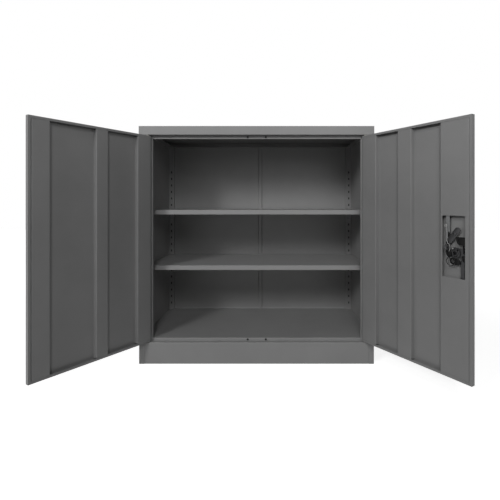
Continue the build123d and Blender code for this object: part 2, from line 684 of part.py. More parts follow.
def bolt(side, end):
    """Flat bolt of one side of the hub, drawn in, from its slotted arm to its end in the door's flange."""
    u = LOCK_LINE + side * ROD_OFFSET
    arm_level = HUB_LEVEL + side * CRANK_PIN_RISE
    arm = (arm_level - ROD_ARM_HEIGHT / 2, arm_level + ROD_ARM_HEIGHT / 2)
    depths = (ROD_FACE, ROD_BACK)
    bar_levels = (end, arm[0]) if end > arm_level else (end, arm[1])
    bar = block((u - ROD_WIDTH / 2, u + ROD_WIDTH / 2), depths, bar_levels)
    bar = chamfer(end_edges(bar, end > arm_level), ROD_TIP_CHAMFER)
    bar += block((LOCK_LINE + side * ROD_ARM_START, u + side * ROD_WIDTH / 2), depths, arm)
    inner = CRANK_PIN_OFFSET - CRANK_PIN_RADIUS - SLOT_SIDE
    outer = CRANK_THROW + CRANK_PIN_RADIUS + SLOT_SIDE
    half_slot = CRANK_PIN_RADIUS + SLOT_LIFT
    slot = block(
        (LOCK_LINE + side * inner, LOCK_LINE + side * outer),
        (ROD_FACE - SHEET, ROD_BACK + SHEET),
        (arm_level - half_slot, arm_level + half_slot),
    )
    return bar - slot


def end_edges(bar, top):
    """The two edges across the end of a bolt's flat faces, for its chamfer."""
    ends = bar.edges().filter_by(Axis.Y).sort_by(Axis.Z)
    return ends[-2:] if top else ends[:2]


def upper_bolt():
    return bolt(-1, DOOR_TOP - ROD_END_INSET)


def lower_bolt():
    return bolt(1, DOOR_BOTTOM + ROD_END_INSET)


def bolt_guide(u, level):
    """Guide on the inside of the skin with a slot for a bolt."""
    half_width = ROD_WIDTH / 2 + GUIDE_GAP
    levels = (level - GUIDE_LENGTH / 2, level + GUIDE_LENGTH / 2)
    guide = block(
        (u - half_width - GUIDE_WALL, u + half_width + GUIDE_WALL),
        (SHEET, ROD_BACK + GUIDE_GAP + GUIDE_BRIDGE),
        levels,
    )
    depths = (ROD_FACE - GUIDE_GAP, ROD_BACK + GUIDE_GAP)
    return guide - block((u - half_width, u + half_width), depths, levels)


def bolt_guides():
    upper_end, lower_end = DOOR_TOP - GUIDE_SETBACK, DOOR_BOTTOM + GUIDE_SETBACK
    guides = []
    for setback in (0, GUIDE_SPACING):
        guides.append(bolt_guide(LOCK_LINE - ROD_OFFSET, upper_end - setback))
        guides.append(bolt_guide(LOCK_LINE + ROD_OFFSET, lower_end + setback))
    return grouped(guides)


# ---- key cylinder

def barrel():
    """Fixed sleeve of the key cylinder."""
    nose = -PLATE_THICKNESS - BARREL_NOSE
    sleeve = round_bar(LOCK_LINE, CYLINDER_LEVEL, BARREL_RADIUS, (nose, BARREL_END))
    return sleeve - round_bar(LOCK_LINE, CYLINDER_LEVEL, PLUG_RADIUS + PLUG_RUN, (nose, BARREL_END))


def plug():
    """Turning core of the key cylinder with its keyway."""
    nose = -PLATE_THICKNESS - BARREL_NOSE
    core = round_bar(LOCK_LINE, CYLINDER_LEVEL, PLUG_RADIUS, (nose, BARREL_END + PLUG_TAIL))
    x = (LOCK_LINE - KEYWAY_WIDTH / 2, LOCK_LINE + KEYWAY_WIDTH / 2)
    z = (CYLINDER_LEVEL - KEYWAY_HEIGHT / 2, CYLINDER_LEVEL + KEYWAY_HEIGHT / 2)
    return core - block(x, (nose - SHEET, nose + KEYWAY_DEPTH), z)


def lock_cam():
    """Oblong cam on the end of the plug."""
    face = BARREL_END + PLUG_TAIL
    outline = Pos((CAM_LONG_REACH - CAM_SHORT_REACH) / 2, 0)
    outline *= SlotOverall(CAM_LONG_REACH + CAM_SHORT_REACH, CAM_WIDTH)
    turned = Rot(0, 0, CAM_ANGLE) * outline
    return across(turned, LOCK_LINE, CYLINDER_LEVEL, (face, face + CAM_THICKNESS))


def cam_nut():
    face = BARREL_END + PLUG_TAIL + CAM_THICKNESS
    return across(hexagon(CAM_NUT_WIDTH), LOCK_LINE, CYLINDER_LEVEL, (face, face + CAM_NUT_THICKNESS))


def spare_key(offset, rise, angle):
    """Key with a plastic head, flat against the crank, its blade in the direction of angle."""
    near = CRANK_BACK + KEY_GAP
    inset = (KEY_HEAD_THICKNESS - KEY_BLADE_THICKNESS) / 2
    blade = Rot(0, 0, angle) * Pos(KEY_BLADE_LENGTH / 2, 0) * Rectangle(KEY_BLADE_LENGTH, KEY_BLADE_WIDTH)
    u, level = LOCK_LINE + offset, HUB_LEVEL + rise
    key = across(octagon(KEY_HEAD_WIDTH), u, level, (near, near + KEY_HEAD_THICKNESS))
    return key + across(blade, u, level, (near + inset, near + inset + KEY_BLADE_THICKNESS))


def spare_keys():
    return grouped([
        spare_key(UPPER_KEY_OFFSET, UPPER_KEY_RISE, UPPER_KEY_ANGLE),
        spare_key(LOWER_KEY_OFFSET, LOWER_KEY_RISE, LOWER_KEY_ANGLE),
    ])


# ---- the whole cupboard

def case_nodes():
    return {
        "lid": lid(),
        "side_panel_left": side_panel(),
        "side_panel_right": mirrored(side_panel()),
        "plinth": plinth(),
        "floor_panel": floor_panel(),
        "back_panel_left": back_panel(),
        "back_panel_right": mirrored(back_panel()),
        "back_cover_strip": cover_strip(),
        "rear_upright_left": rear_upright(),
        "rear_upright_right": mirrored(rear_upright()),
        "front_upright_left": front_upright(),
        "front_upright_right": mirrored(front_upright()),
        "upper_shelf_clips": shelf_clips(UPPER_SHELF_SLOT_INDEX),
        "lower_shelf_clips": shelf_clips(LOWER_SHELF_SLOT_INDEX),
        "upper_shelf": shelf(UPPER_SHELF_SLOT_INDEX),
        "lower_shelf": shelf(LOWER_SHELF_SLOT_INDEX),
        "hinge_washers": hinge_washers(),
        "door_buffers": door_buffers(),
    }


def door_nodes():
    """Pieces of both doors, still in door coordinates, with the hand of their door."""
    pins = grouped(hinge_pin(top) for top in (False, True))
    brackets = grouped(pin_bracket(top) for top in (False, True))
    return {
        "left_door_pan": (door_pan(), LEFT),
        "left_hinge_channel": (hinge_channel(LEFT_HINGE_CHANNEL_REACH), LEFT),
        "left_middle_channel": (stiffener(LEFT_MID_CHANNEL_START, LEFT_MID_CHANNEL_WIDTH), LEFT),
        "left_edge_channel": (left_edge_channel(), LEFT),
        "left_hinge_pins": (pins, LEFT),
        "left_pin_brackets": (brackets, LEFT),
        "right_door_pan": (right_door_pan(), RIGHT),
        "right_hinge_channel": (hinge_channel(RIGHT_HINGE_CHANNEL_REACH), RIGHT),
        "right_middle_channel": (stiffener(RIGHT_MID_CHANNEL_START, RIGHT_MID_CHANNEL_WIDTH), RIGHT),
        "right_lock_channel": (lock_channel(), RIGHT),
        "right_hinge_pins": (pins, RIGHT),
        "right_pin_brackets": (brackets, RIGHT),
        "handle_plate": (handle_plate(), RIGHT),
        "bolt_guides": (bolt_guides(), RIGHT),
        "cylinder_barrel": (barrel(), RIGHT),
        "cylinder_plug": (plug(), RIGHT),
        "lock_cam": (lock_cam(), RIGHT),
        "lock_cam_nut": (cam_nut(), RIGHT),
        "handle_grip": (handle_grip(), RIGHT),
        "handle_spindle": (spindle(), RIGHT),
        "crank_disc": (crank(), RIGHT),
        "crank_screw": (crank_screw(), RIGHT),
        "upper_bolt": (upper_bolt(), RIGHT),
        "lower_bolt": (lower_bolt(), RIGHT),
        "spare_keys": (spare_keys(), RIGHT),
    }


def main():
    os.makedirs("parts", exist_ok=True)
    nodes = case_nodes()
    for name, (piece, hand) in door_nodes().items():
        nodes[name] = hung(piece, hand)
    for name, piece in nodes.items():
        piece = Pos(0, -ORIGIN_SETBACK, 0) * piece
        export_step(piece, f"parts/{name}.step")
        print(name, len(piece.solids()), "solids")


main()
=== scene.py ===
"""A low tool cabinet with two doors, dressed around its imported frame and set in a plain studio.

The sheet-metal parts come from the frame and are powder coated here. The lock work, the keys, the
outer handle, the seam strip and the rubber buffers are built here in full detail and stand for
their plain solids. Sizes are in millimetres, apart from those of the studio, which are in metres.
"""
from __future__ import annotations

import json
import logging
import math
from dataclasses import dataclass, field
from enum import Enum
from typing import Sequence

import bmesh
import bpy
from mathutils import Matrix, Vector

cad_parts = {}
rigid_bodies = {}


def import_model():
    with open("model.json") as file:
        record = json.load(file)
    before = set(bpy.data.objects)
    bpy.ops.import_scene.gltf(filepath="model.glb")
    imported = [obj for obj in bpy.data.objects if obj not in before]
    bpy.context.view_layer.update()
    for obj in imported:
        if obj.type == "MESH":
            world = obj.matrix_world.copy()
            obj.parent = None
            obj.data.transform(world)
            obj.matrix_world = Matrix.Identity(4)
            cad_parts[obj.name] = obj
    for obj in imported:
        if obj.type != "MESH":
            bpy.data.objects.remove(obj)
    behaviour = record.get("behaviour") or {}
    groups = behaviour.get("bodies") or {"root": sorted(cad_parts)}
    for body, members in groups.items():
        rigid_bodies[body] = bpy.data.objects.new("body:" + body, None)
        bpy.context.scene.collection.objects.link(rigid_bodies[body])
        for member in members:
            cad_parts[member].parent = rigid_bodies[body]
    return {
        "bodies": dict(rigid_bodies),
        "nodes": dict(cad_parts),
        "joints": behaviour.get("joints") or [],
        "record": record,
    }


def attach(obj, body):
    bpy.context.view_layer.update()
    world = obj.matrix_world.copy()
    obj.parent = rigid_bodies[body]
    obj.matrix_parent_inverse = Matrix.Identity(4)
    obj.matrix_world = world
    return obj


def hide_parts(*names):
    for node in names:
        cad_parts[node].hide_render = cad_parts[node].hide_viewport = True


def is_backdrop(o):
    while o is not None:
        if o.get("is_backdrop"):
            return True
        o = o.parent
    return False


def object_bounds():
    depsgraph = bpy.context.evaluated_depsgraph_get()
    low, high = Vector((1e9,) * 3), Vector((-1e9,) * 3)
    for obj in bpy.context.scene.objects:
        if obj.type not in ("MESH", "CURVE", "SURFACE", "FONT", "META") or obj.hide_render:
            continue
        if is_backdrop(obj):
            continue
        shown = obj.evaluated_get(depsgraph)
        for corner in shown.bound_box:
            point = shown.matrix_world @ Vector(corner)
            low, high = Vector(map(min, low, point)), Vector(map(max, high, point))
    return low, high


LOG = logging.getLogger("tool_cabinet")
MM = 0.001
WHITE = (1.0, 1.0, 1.0, 1.0)
NOISE_SPAN = (0.3, 0.7)  # holds nearly all values of a noise texture
CORNER_STEPS = 8  # straight pieces in a rounded corner of an outline
WELD_MM = 0.001  # points of a plate that lie nearer than this are joined

Spot = tuple[float, float]  # place in a face
Span = tuple[float, float]  # two ends or limits
Point = tuple[float, float, float]
Colour = tuple[float, float, float, float]
Outline = Sequence[Spot]
Material, Object, Tree = bpy.types.Material, bpy.types.Object, bpy.types.NodeTree
Socket = bpy.types.NodeSocket


# -------- small helpers

def linear(shade: str) -> Colour:
    """Turns an sRGB hex value into a linear colour with full alpha.

    Args:
        shade: Six hex digits, such as "8C8C8B".

    Returns:
        Red, green, blue and alpha, from 0 to 1.
    """
    channels = []
    for start in (0, 2, 4):
        value = int(shade[start:start + 2], 16) / 255
        channels.append(value / 12.92 if value <= 0.04045 else ((value + 0.055) / 1.055) ** 2.4)
    return channels[0], channels[1], channels[2], 1.0


def per_metre(size_mm: float) -> float:
    """Texture scale, in repeats per metre, of a pattern whose grain is size_mm wide."""
    return 1 / (size_mm * MM)


def add_node(
    tree: Tree, kind: str, links: dict[int | str, object] | None = None, **settings: object
) -> bpy.types.Node:
    """Adds one node, sets its properties, and fills or links its inputs.

    Args:
        tree: Node tree that gets the node.
        kind: Blender's name of the node type.
        links: Input name or number to a constant or to the output socket that feeds it.
        settings: Properties of the node itself.

    Returns:
        The new node.
    """
    node = tree.nodes.new(kind)
    for name, value in settings.items():
        setattr(node, name, value)
    for name, value in (links or {}).items():
        if isinstance(value, Socket):
            tree.links.new(value, node.inputs[name])
        else:
            node.inputs[name].default_value = value
    return node


def add_math(tree: Tree, operation: str, *terms: Socket | float) -> Socket:
    """Adds a maths node on two or three sockets or values, and gives its result."""
    node = add_node(tree, "ShaderNodeMath", dict(enumerate(terms)), operation=operation)
    return node.outputs["Value"]


class Surface:
    """A material under construction, with short ways to add what all finishes need."""

    def __init__(self, name: str) -> None:
        """Starts a node material with the object's own coordinates.

        Args:
            name: Name of the material.
        """
        self.material = bpy.data.materials.new(name)
        self.material.use_nodes = True
        self.tree = self.material.node_tree
        self.tree.nodes.clear()
        self.place = add_node(self.tree, "ShaderNodeTexCoord").outputs["Object"]

    def noise(
        self, size_mm: float, detail: float, roughness: float = 0.5, place: Socket | None = None
    ) -> Socket:
        """Adds a noise whose grain is size_mm wide, on its own coordinates or the object's."""
        return add_node(self.tree, "ShaderNodeTexNoise", {
            "Vector": place or self.place, "Scale": per_metre(size_mm), "Detail": detail,
            "Roughness": roughness}).outputs["Fac"]

    def ramp(self, value: Socket, span: Span, ends: Span = (0.0, 1.0), **settings: str) -> Socket:
        """Adds a ramp that turns a span of values into another one between two ends."""
        return add_node(self.tree, "ShaderNodeMapRange", {
            "Value": value, "From Min": span[0], "From Max": span[1], "To Min": ends[0],
            "To Max": ends[1]}, **settings).outputs["Result"]

    def mix(self, share: Socket, low: Socket | Colour, high: Socket | Colour) -> Socket:
        """Adds a mix of two colours, from the low one at share 0 to the high one at 1."""
        return add_node(self.tree, "ShaderNodeMix", {
            0: share, 6: low, 7: high}, data_type="RGBA").outputs[2]

    def relief(self, height: Socket, depth_mm: float, strength: float) -> Socket:
        """Adds a relief that is depth_mm deep and gives its normals."""
        return add_node(self.tree, "ShaderNodeBump", {
            "Height": height, "Strength": strength, "Distance": depth_mm * MM}).outputs["Normal"]

    def shader(self, inputs: dict[int | str, object]) -> Socket:
        """Adds the surface shader with its inputs."""
        return add_node(self.tree, "ShaderNodeBsdfPrincipled", inputs).outputs["BSDF"]

    def close(self, shader: Socket) -> Material:
        """Adds the output and gives the finished material."""
        add_node(self.tree, "ShaderNodeOutputMaterial", {"Surface": shader})
        return self.material


# -------- finishes

@dataclass(frozen=True)
class PowderCoat:
    """Polyester powder coat, sprayed on sheet steel and baked: semi-matt, with orange peel.

    The melted powder leaves low waves a few millimetres wide, which break up the reflections, and a
    trace of darker and paler film where it lies thin or thick.
    """

    name: str
    shade: str
    thin_shade: str
    roughness: float = 0.46
    roughness_spread: float = 0.05
    peel_mm: float = 3.2
    peel_height_mm: float = 0.035
    grit_mm: float = 0.9  # real grit is near 0.1 mm, drawn coarser so that it shows
    grit_share: float = 0.25  # of the grit in the relief, beside the peel
    grit_span: Span = (0.25, 0.75)  # its values between which the roughness spreads
    cloud_mm: float = 140.0  # width of the paler and darker patches

    def material(self) -> Material:
        """Builds the node material.

        Returns:
            The new material.
        """
        surface = Surface(self.name)
        peel = surface.noise(self.peel_mm, detail=1.5, roughness=0.45)
        grit = surface.noise(self.grit_mm, detail=1.0)
        cloud = surface.noise(self.cloud_mm, detail=4.0, roughness=0.55)
        film = surface.ramp(cloud, NOISE_SPAN)
        waves = add_math(surface.tree, "MULTIPLY_ADD", grit, self.grit_share, peel)
        rough, spread = self.roughness, self.roughness_spread
        return surface.close(surface.shader({
            "Base Color": surface.mix(film, linear(self.thin_shade), linear(self.shade)),
            "Roughness": surface.ramp(grit, self.grit_span, (rough - spread, rough + spread)),
            "IOR": 1.5,
            "Normal": surface.relief(waves, self.peel_height_mm, strength=0.5)}))


@dataclass(frozen=True)
class PaintedShadeCoat(PowderCoat):
    """Dark, dull, grainy coat: painted shade, seen through the slots of the uprights."""

    roughness: float = 0.8


@dataclass(frozen=True)
class PlatedMetal:
    """Plated metal: bright, with the faint bloom and the fine scratches of barrel plating."""

    name: str
    shade: str
    dull_shade: str
    roughness: float
    bloom_haze: float = 0.10  # added to the roughness where the bloom is dull
    bloom_gloss: float = 0.06  # taken off it where the plating is clear
    bloom_mm: float = 9.0
    scratch_mm: float = 0.7  # real scratches are near 0.05 mm, drawn coarser so that they show
    scratch_depth_mm: float = 0.02
    scratch_stretch: float = 0.12  # along the height, which draws the scratches out

    def material(self) -> Material:
        """Builds the node material.

        Returns:
            The new material.
        """
        surface = Surface(self.name)
        bloom = surface.noise(self.bloom_mm, detail=5.0, roughness=0.6)
        drawn = add_node(surface.tree, "ShaderNodeMapping", {
            "Vector": surface.place, "Scale": (1.0, 1.0, self.scratch_stretch)})
        scratch = surface.noise(
            self.scratch_mm, detail=2.0, roughness=0.6, place=drawn.outputs["Vector"])
        haze, gloss = self.roughness + self.bloom_haze, self.roughness - self.bloom_gloss
        return surface.close(surface.shader({
            "Base Color": surface.mix(bloom, linear(self.dull_shade), linear(self.shade)),
            "Metallic": 1.0,
            "Roughness": surface.ramp(bloom, NOISE_SPAN, (haze, gloss)),
            "Normal": surface.relief(scratch, self.scratch_depth_mm, strength=0.35)}))


@dataclass(frozen=True)
class MouldedPolymer:
    """Moulded plastic or rubber: one colour all through, with the fine texture of its mould."""

    name: str
    shade: str
    worn_shade: str
    roughness: float
    ior: float
    texture_mm: float
    texture_height_mm: float = 0.03
    roughness_spread: float = 0.06
    handled_share: float = 30.0  # size of the worn patches, in grains of the texture
    shine: float = 0.5  # specular level

    def material(self) -> Material:
        """Builds the node material.

        Returns:
            The new material.
        """
        surface = Surface(self.name)
        mould = surface.noise(self.texture_mm, detail=3.0, roughness=0.6)
        patch_mm = self.handled_share * self.texture_mm
        handled = surface.noise(patch_mm, detail=3.0, roughness=0.55)
        rough, spread = self.roughness, self.roughness_spread
        return surface.close(surface.shader({
            "Base Color": surface.mix(handled, linear(self.shade), linear(self.worn_shade)),
            "Roughness": surface.ramp(handled, NOISE_SPAN, (rough - spread, rough + spread)),
            "IOR": self.ior, "Specular IOR Level": self.shine,
            "Normal": surface.relief(mould, self.texture_height_mm, strength=0.6)}))


class Slot(Enum):
    """Material slots of the record, each with a finish that it gets here."""

    # Grey powder on the case: plain mid grey with a soft sheen.
    CASE = ("case_paint", PowderCoat("grey_powder_coat_case", "919191", "8B8B8B"))
    # The same powder on the shelves, a touch paler.
    SHELF = ("shelf_paint", PowderCoat("grey_powder_coat_shelf", "989898", "939393"))
    # The same powder on the doors, a touch darker.
    DOOR = ("door_paint", PowderCoat("grey_powder_coat_door", "868686", "808080"))
    # Clear-passivated zinc: a cool, dull silver.
    ZINC = ("zinc_steel", PlatedMetal("zinc_plated_steel", "88898A", "747576", roughness=0.4))
    # A darker copy of the zinc, charcoal with a metal gloss: painted shade in the lock window.
    SHADED_ZINC = ("zinc_steel", PlatedMetal(
        "zinc_plated_steel_painted_shade", "4B4B4C", "3B3B3C", roughness=0.42))
    # Oiled black oxide on screw, rivets, ring and key blades: nearly black, with small glints.
    BLACK_OXIDE = ("zinc_steel", PlatedMetal(
        "black_oxide_spring_steel", "1A1A1B", "131314", roughness=0.5))
    # Dark, dull sheet inside the uprights: painted shade that shows behind the slots.
    SLOT_SHADE = ("case_paint", PaintedShadeCoat("painted_slot_shade", "424242", "383838"))
    # Black nylon with glass fibre: nearly black, a little paler where it is handled.
    BLACK = ("black_plastic", MouldedPolymer(
        "glass_filled_nylon_black", "080808", "101010", 0.45, ior=1.53, texture_mm=0.5,
        shine=0.15))
    # Satin nickel on brass: the brightest metal here, with soft reflections.
    NICKEL = ("nickel", PlatedMetal(
        "satin_nickel_plated_brass", "A6A6A5", "8C8C8B", roughness=0.32))
    # Nylon without pigment: off-white and waxy.
    NYLON = ("nylon", MouldedPolymer(
        "natural_nylon", "C9C7BD", "BDBBB0", 0.48, ior=1.53, texture_mm=0.6))
    # Moulded black rubber: dull, with hardly a highlight.
    RUBBER = ("buffer_rubber", MouldedPolymer(
        "black_rubber", "0B0B0B", "161616", 0.72, ior=1.52, texture_mm=0.4))

    @property
    def key(self) -> str:
        """Name of the slot in the record."""
        return self.value[0]


class Finishes:
    """Builds each finish once and hands it out by slot."""

    def __init__(self) -> None:
        """Builds the materials of all slots."""
        self._made = {slot: slot.value[1].material() for slot in Slot}

    def dress(self, piece: Object, slot: Slot) -> None:
        """Gives a piece the material of a slot in place of what it has.

        Args:
            piece: Frame node or new piece.
            slot: Slot whose material it gets.
        """
        piece.data.materials.clear()
        piece.data.materials.append(self._made[slot])


# -------- frame nodes

@dataclass
class Frame:
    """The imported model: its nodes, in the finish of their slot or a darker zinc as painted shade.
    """

    loaded: dict
    finishes: Finishes
    # The crank disc and the lower bolt get the darker zinc: painted shade.
    darker = {"crank_disc": Slot.SHADED_ZINC, "lower_bolt": Slot.SHADED_ZINC}

    def dress_all(self) -> None:
        """Gives every node its darker zinc of painted shade, or else the first finish of its slot.
        """
        by_key = {slot.key: slot for slot in reversed(Slot)}
        for row in self.loaded["record"]["subparts"]:
            slot = self.darker.get(row["node"], by_key[row["material_slot"]])
            self.finishes.dress(self.loaded["nodes"][row["node"]], slot)
            LOG.info("frame node %s in %s", row["node"], slot.name.lower())


# -------- shapes

@dataclass(frozen=True)
class DoorSpace:
    """Space of the open right door: u from its hinge edge, v inward from its outer face, height."""

    open_deg: float = 123.0
    pivot_x: float = 418.0  # hinge axis in the case
    pivot_y: float = -4.5
    pivot_inset: float = 8.0  # hinge axis in the door: its u
    pivot_depth: float = 5.5  # and its v

    def matrix(self) -> Matrix:
        """Works out the way from this door's millimetres to the frame's metres.

        Returns:
            The matrix.
        """
        local = Matrix.Translation((-self.pivot_inset, -self.pivot_depth, 0))
        turn = Matrix.Rotation(math.radians(-self.open_deg), 4, "Z")
        hung = Matrix.Translation((-self.pivot_x, self.pivot_y, 0)) @ turn @ local
        mirror = Matrix.Diagonal((-1, 1, 1, 1))
        return Matrix.Scale(MM, 4) @ mirror @ hung


CASE_SPACE = Matrix.Scale(MM, 4)
RIGHT_DOOR_SPACE = DoorSpace().matrix()


def circle(radius: float, at: Spot = (0.0, 0.0), sides: int = 48) -> Outline:
    """Outline of a circle, or of a regular figure when sides is small."""
    turns = [2 * math.pi * i / sides for i in range(sides)]
    return [(at[0] + radius * math.cos(t), at[1] + radius * math.sin(t)) for t in turns]


def hexagon(width: float, at: Spot = (0.0, 0.0)) -> Outline:
    """Outline of a hexagon, width over its flats."""
    return circle(width / math.sqrt(3), at, 6)


def rounded(width: float, height: float, radius: float, at: Spot = (0.0, 0.0)) -> Outline:
    """Outline of a rectangle with rounded corners.

    Args:
        width: Its width.
        height: Its height.
        radius: Radius of its corners.
        at: Its middle.

    Returns:
        Points in order.
    """
    points = []
    for sx, sy, start in ((1, 1, 0), (-1, 1, 90), (-1, -1, 180), (1, -1, 270)):
        cx, cy = at[0] + sx * (width / 2 - radius), at[1] + sy * (height / 2 - radius)
        for step in range(CORNER_STEPS + 1):
            t = math.radians(start + 90 * step / CORNER_STEPS)
            points.append((cx + radius * math.cos(t), cy + radius * math.sin(t)))
    return points


def turned(outline: Outline, degrees: float, to: Spot) -> Outline:
    """Outline turned about its origin and moved to a point."""
    c, s = math.cos(math.radians(degrees)), math.sin(math.radians(degrees))
    return [(to[0] + x * c - y * s, to[1] + x * s + y * c) for x, y in outline]


def shrunk(outline: Outline, middle: Spot, share: float) -> Outline:
    """Outline drawn in towards a middle point, to a share of its size."""
    return [(middle[0] + (x - middle[0]) * share, middle[1] + (z - middle[1]) * share)
            for x, z in outline]


def raised(profile: Outline, base: float) -> Outline:
    """Profile of (radius, rise) set on a base, as (radius, depth)."""
    return [(radius, base + rise) for radius, rise in profile]


def bored(profile: Outline, bore: float) -> Outline:
    """Profile of a turned ring, closed along the wall of its bore."""
    first, last = profile[0][1], profile[-1][1]
    return [(bore, first), *profile, (bore, last), (bore, first)]


@dataclass
class Shape:
    """A mesh in millimetres: x and z lie in the face of a door or panel, y is depth."""

    name: str
    mesh: bmesh.types.BMesh = field(default_factory=bmesh.new)

    def lathe(self, profile: Outline, at: Spot, sides: int = 48) -> Shape:
        """Turns a profile of (radius, depth) about the depth axis through a point of the face.

        Args:
            profile: Points of radius and depth, in order.
            at: Place of the axis in the face.
            sides: Faces around.

        Returns:
            This shape.
        """
        rings = []
        for radius, depth in profile:
            count = sides if radius else 1
            rings.append([self.mesh.verts.new((at[0] + x, depth, at[1] + z))
                          for x, z in circle(radius, sides=count)])
        for low, high in zip(rings, rings[1:]):
            for i in range(sides):
                j = (i + 1) % sides
                corners = dict.fromkeys((low[i % len(low)], low[j % len(low)],
                                         high[j % len(high)], high[i % len(high)]))
                if len(corners) > 2:
                    self.mesh.faces.new(list(corners))
        return self

    def loft(self, rings: Sequence[Sequence[Point]]) -> Shape:
        """Skins closed rings of the same count in order and closes both ends.

        Args:
            rings: Rings of points.

        Returns:
            This shape.
        """
        made = [[self.mesh.verts.new(point) for point in ring] for ring in rings]
        for low, high in zip(made, made[1:]):
            for i in range(len(low)):
                j = (i + 1) % len(low)
                self.mesh.faces.new((low[i], low[j], high[j], high[i]))
        self.mesh.faces.new(made[0][::-1])
        self.mesh.faces.new(made[-1])
        return self

    def plate(
        self, outline: Outline, depths: Span, holes: Sequence[Outline] = (),
        edge: float = 0.0, steps: int = 2,
    ) -> Shape:
        """Adds a flat plate with holes and rounded edges.

        Args:
            outline: Its outer outline in the face.
            depths: Depth of its two faces.
            holes: Outlines of its holes.
            edge: Radius of its rounded edges.
            steps: Faces across a rounded edge.

        Returns:
            This shape.
        """
        curve = bpy.data.curves.new("plate_outline", "CURVE")
        curve.dimensions, curve.fill_mode = "2D", "BOTH"
        curve.extrude = abs(depths[1] - depths[0]) / 2 - edge
        curve.bevel_depth, curve.bevel_resolution, curve.offset = edge, steps, -edge
        for ring in (outline, *holes):
            spline = curve.splines.new("POLY")
            spline.points.add(len(ring) - 1)
            spline.use_cyclic_u = True
            for point, (x, z) in zip(spline.points, ring):
                point.co = (x, z, 0.0, 1.0)
        upright = Matrix.Rotation(math.radians(90), 4, "X")
        self.add_curve(curve, Matrix.Translation((0, sum(depths) / 2, 0)) @ upright)
        bmesh.ops.remove_doubles(self.mesh, verts=self.mesh.verts, dist=WELD_MM)
        return self

    def wire(self, path: Sequence[Point], radius: float, closed: bool = False) -> Shape:
        """Adds a round wire along a smooth line through some points.

        Args:
            path: Points that the wire passes.
            radius: Radius of the wire.
            closed: Whether it closes on itself.

        Returns:
            This shape.
        """
        curve = bpy.data.curves.new("wire_line", "CURVE")
        curve.dimensions, curve.resolution_u = "3D", 8
        curve.bevel_depth, curve.bevel_resolution = radius, 2
        curve.use_fill_caps = True
        spline = curve.splines.new("BEZIER")
        spline.bezier_points.add(len(path) - 1)
        spline.use_cyclic_u = closed
        for point, place in zip(spline.bezier_points, path):
            point.co = place
            point.handle_left_type = point.handle_right_type = "AUTO"
        self.add_curve(curve)
        return self

    def add_curve(self, curve: bpy.types.Curve, space: Matrix | None = None) -> None:
        """Turns a curve into faces of this mesh and deletes the curve.

        Args:
            curve: Curve with its bevel and extrusion set.
            space: Matrix from the curve's space to this shape's, or none where they are the same.
        """
        holder = bpy.data.objects.new(curve.name, curve)
        bpy.context.scene.collection.objects.link(holder)
        bpy.context.view_layer.update()
        evaluated = holder.evaluated_get(bpy.context.evaluated_depsgraph_get())
        faces = bpy.data.meshes.new_from_object(evaluated)
        if space is not None:
            faces.transform(space)
        self.mesh.from_mesh(faces)
        bpy.data.objects.remove(holder)
        bpy.data.curves.remove(curve)
        bpy.data.meshes.remove(faces)

    def place(
        self, space: Matrix, body: str, slot: Slot, finishes: Finishes,
        replaces: Sequence[str] = (), smooth_deg: float = 40.0,
    ) -> None:
        """Turns the shape into a piece in its place, dressed and riding on its body.

        Args:
            space: Matrix from the shape's millimetres to the frame's metres.
            body: Frame body that it rides on.
            slot: Material slot of its finish.
            finishes: Finishes to take it from.
            replaces: Frame nodes that it stands for.
            smooth_deg: Edges flatter than this are shaded smooth.
        """
        self.mesh.transform(space)
        bmesh.ops.recalc_face_normals(self.mesh, faces=self.mesh.faces)
        data = bpy.data.meshes.new(self.name)
        self.mesh.to_mesh(data)
        self.mesh.free()
        data.shade_smooth()
        data.set_sharp_from_angle(angle=math.radians(smooth_deg))
        piece = bpy.data.objects.new(self.name, data)
        bpy.context.scene.collection.objects.link(piece)
        finishes.dress(piece, slot)
        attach(piece, body)
        if replaces:
            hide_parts(*replaces)
        LOG.info("piece %s on %s, %d faces", self.name, body, len(data.polygons))


# -------- right door: handle, lock and keys

@dataclass
class DoorFitting:
    """What is fitted to the right door, in the door's own u, v and height."""

    finishes: Finishes
    hub: Spot = (370.0, 464.0)  # axis of the handle: u, height
    lock: Spot = (370.0, 522.0)  # axis of the key cylinder

    def fit(self, shape: Shape, body: str, slot: Slot, replaces: Sequence[str] = ()) -> None:
        """Places a shape in the right door."""
        shape.place(RIGHT_DOOR_SPACE, body, slot, self.finishes, replaces)


